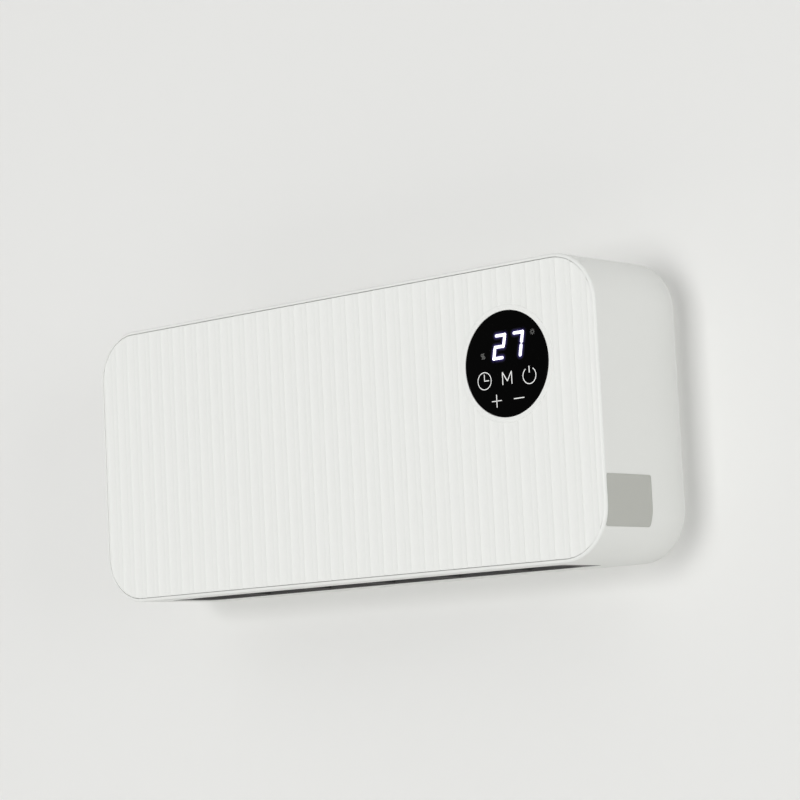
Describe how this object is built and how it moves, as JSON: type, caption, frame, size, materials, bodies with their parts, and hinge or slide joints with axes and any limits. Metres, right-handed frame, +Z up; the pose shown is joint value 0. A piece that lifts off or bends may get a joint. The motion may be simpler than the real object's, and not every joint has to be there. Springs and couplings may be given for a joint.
{
  "type": "bathroom wall fan heater",
  "caption": "Slim wall-hung fan heater with a fluted front, round dark display, top intake grille and a swinging louver in its bottom outlet.",
  "frame": {"origin": "centre of the rear cover's flat back face, which lies against the wall", "axes": "+X to the right seen from the front, +Y towards the wall, +Z up"},
  "size_m": [0.45, 0.084, 0.193],
  "materials": {
    "casing_white": "fine satin moulded shell",
    "dark_plastic": "satin moulded, charcoal",
    "display_black": "polished tinted lens",
    "inner_plastic": "natural moulded, unpainted",
    "heat_plastic": "glass-filled heat-proof moulding",
    "rubber_black": "moulded rubber",
    "steel": "zinc-plated",
    "aluminium": "mill finish",
    "bronze": "sintered bearing bronze",
    "circuit_green": "solder-masked board",
    "label_grey": "satin film label, blank",
    "relay_blue": "moulded relay case",
    "coil_yellow": "taped winding",
    "lead_white": "silicone sleeve",
    "filter_grey": "woven nylon net"
  },
  "bodies": {
    "casing": {"outer_casing": "casing_white", "front_panel": "casing_white", "rear_cover": "casing_white", "outlet_frame": "dark_plastic", "capacitor": "dark_plastic", "switch_housing": "dark_plastic", "display_lens": "display_black", "infrared_receiver": "display_black", "display_carrier": "inner_plastic", "digit_block": "inner_plastic", "rear_scroll": "inner_plastic", "front_scroll": "inner_plastic", "left_end_plate": "inner_plastic", "right_end_plate": "inner_plastic", "left_heater_holder": "heat_plastic", "right_heater_holder": "heat_plastic", "terminal_block": "heat_plastic", "bearing_rubber": "rubber_black", "cord_gland": "rubber_black", "cover_screw_1": "steel", "cover_screw_2": "steel", "cover_screw_3": "steel", "cover_screw_4": "steel", "display_screw_1": "steel", "display_screw_2": "steel", "touch_spring_1": "steel", "touch_spring_2": "steel", "touch_spring_3": "steel", "touch_spring_4": "steel", "touch_spring_5": "steel", "fan_motor": "steel", "motor_screw_1": "steel", "motor_screw_2": "steel", "thermostat": "steel", "thermal_fuse": "steel", "louver_motor": "steel", "heater_bar_front": "aluminium", "heater_bar_middle": "aluminium", "heater_bar_rear": "aluminium", "heater_fins_front": "aluminium", "heater_fins_rear": "aluminium", "end_bearing": "bronze", "display_board": "circuit_green", "main_board": "circuit_green", "rating_label": "label_grey", "relay_1": "relay_blue", "relay_2": "relay_blue", "transformer": "coil_yellow", "motor_lead": "lead_white", "heater_lead_1": "lead_white", "heater_lead_2": "lead_white"},
    "rotor": {"fan_rotor": "dark_plastic", "motor_shaft": "steel", "rotor_pin": "steel"},
    "louver": {"outlet_louver": "dark_plastic", "louver_shaft": "steel"},
    "filter": {"intake_grille": "casing_white", "dust_filter": "filter_grey"},
    "rocker": {"switch_rocker": "dark_plastic"}
  },
  "joints": [
    {"name": "fan_spin", "type": "hinge", "parent": "casing", "child": "rotor", "pos_m": [0, -0.0402, 0.028], "axis": [1, 0, 0], "continuous": true},
    {"name": "louver_swing", "type": "hinge", "parent": "casing", "child": "louver", "pos_m": [0, -0.04825, -0.0795], "axis": [1, 0, 0], "range_deg": [-38, 38]},
    {"name": "filter_lift", "type": "slide", "parent": "casing", "child": "filter", "axis": [0, 0, 1], "range_m": [0, 0.03]},
    {"name": "rocker_press", "type": "hinge", "parent": "casing", "child": "rocker", "pos_m": [-0.2199, -0.026, -0.02], "axis": [0, -1, 0], "range_deg": [0, 14]}
  ]
}
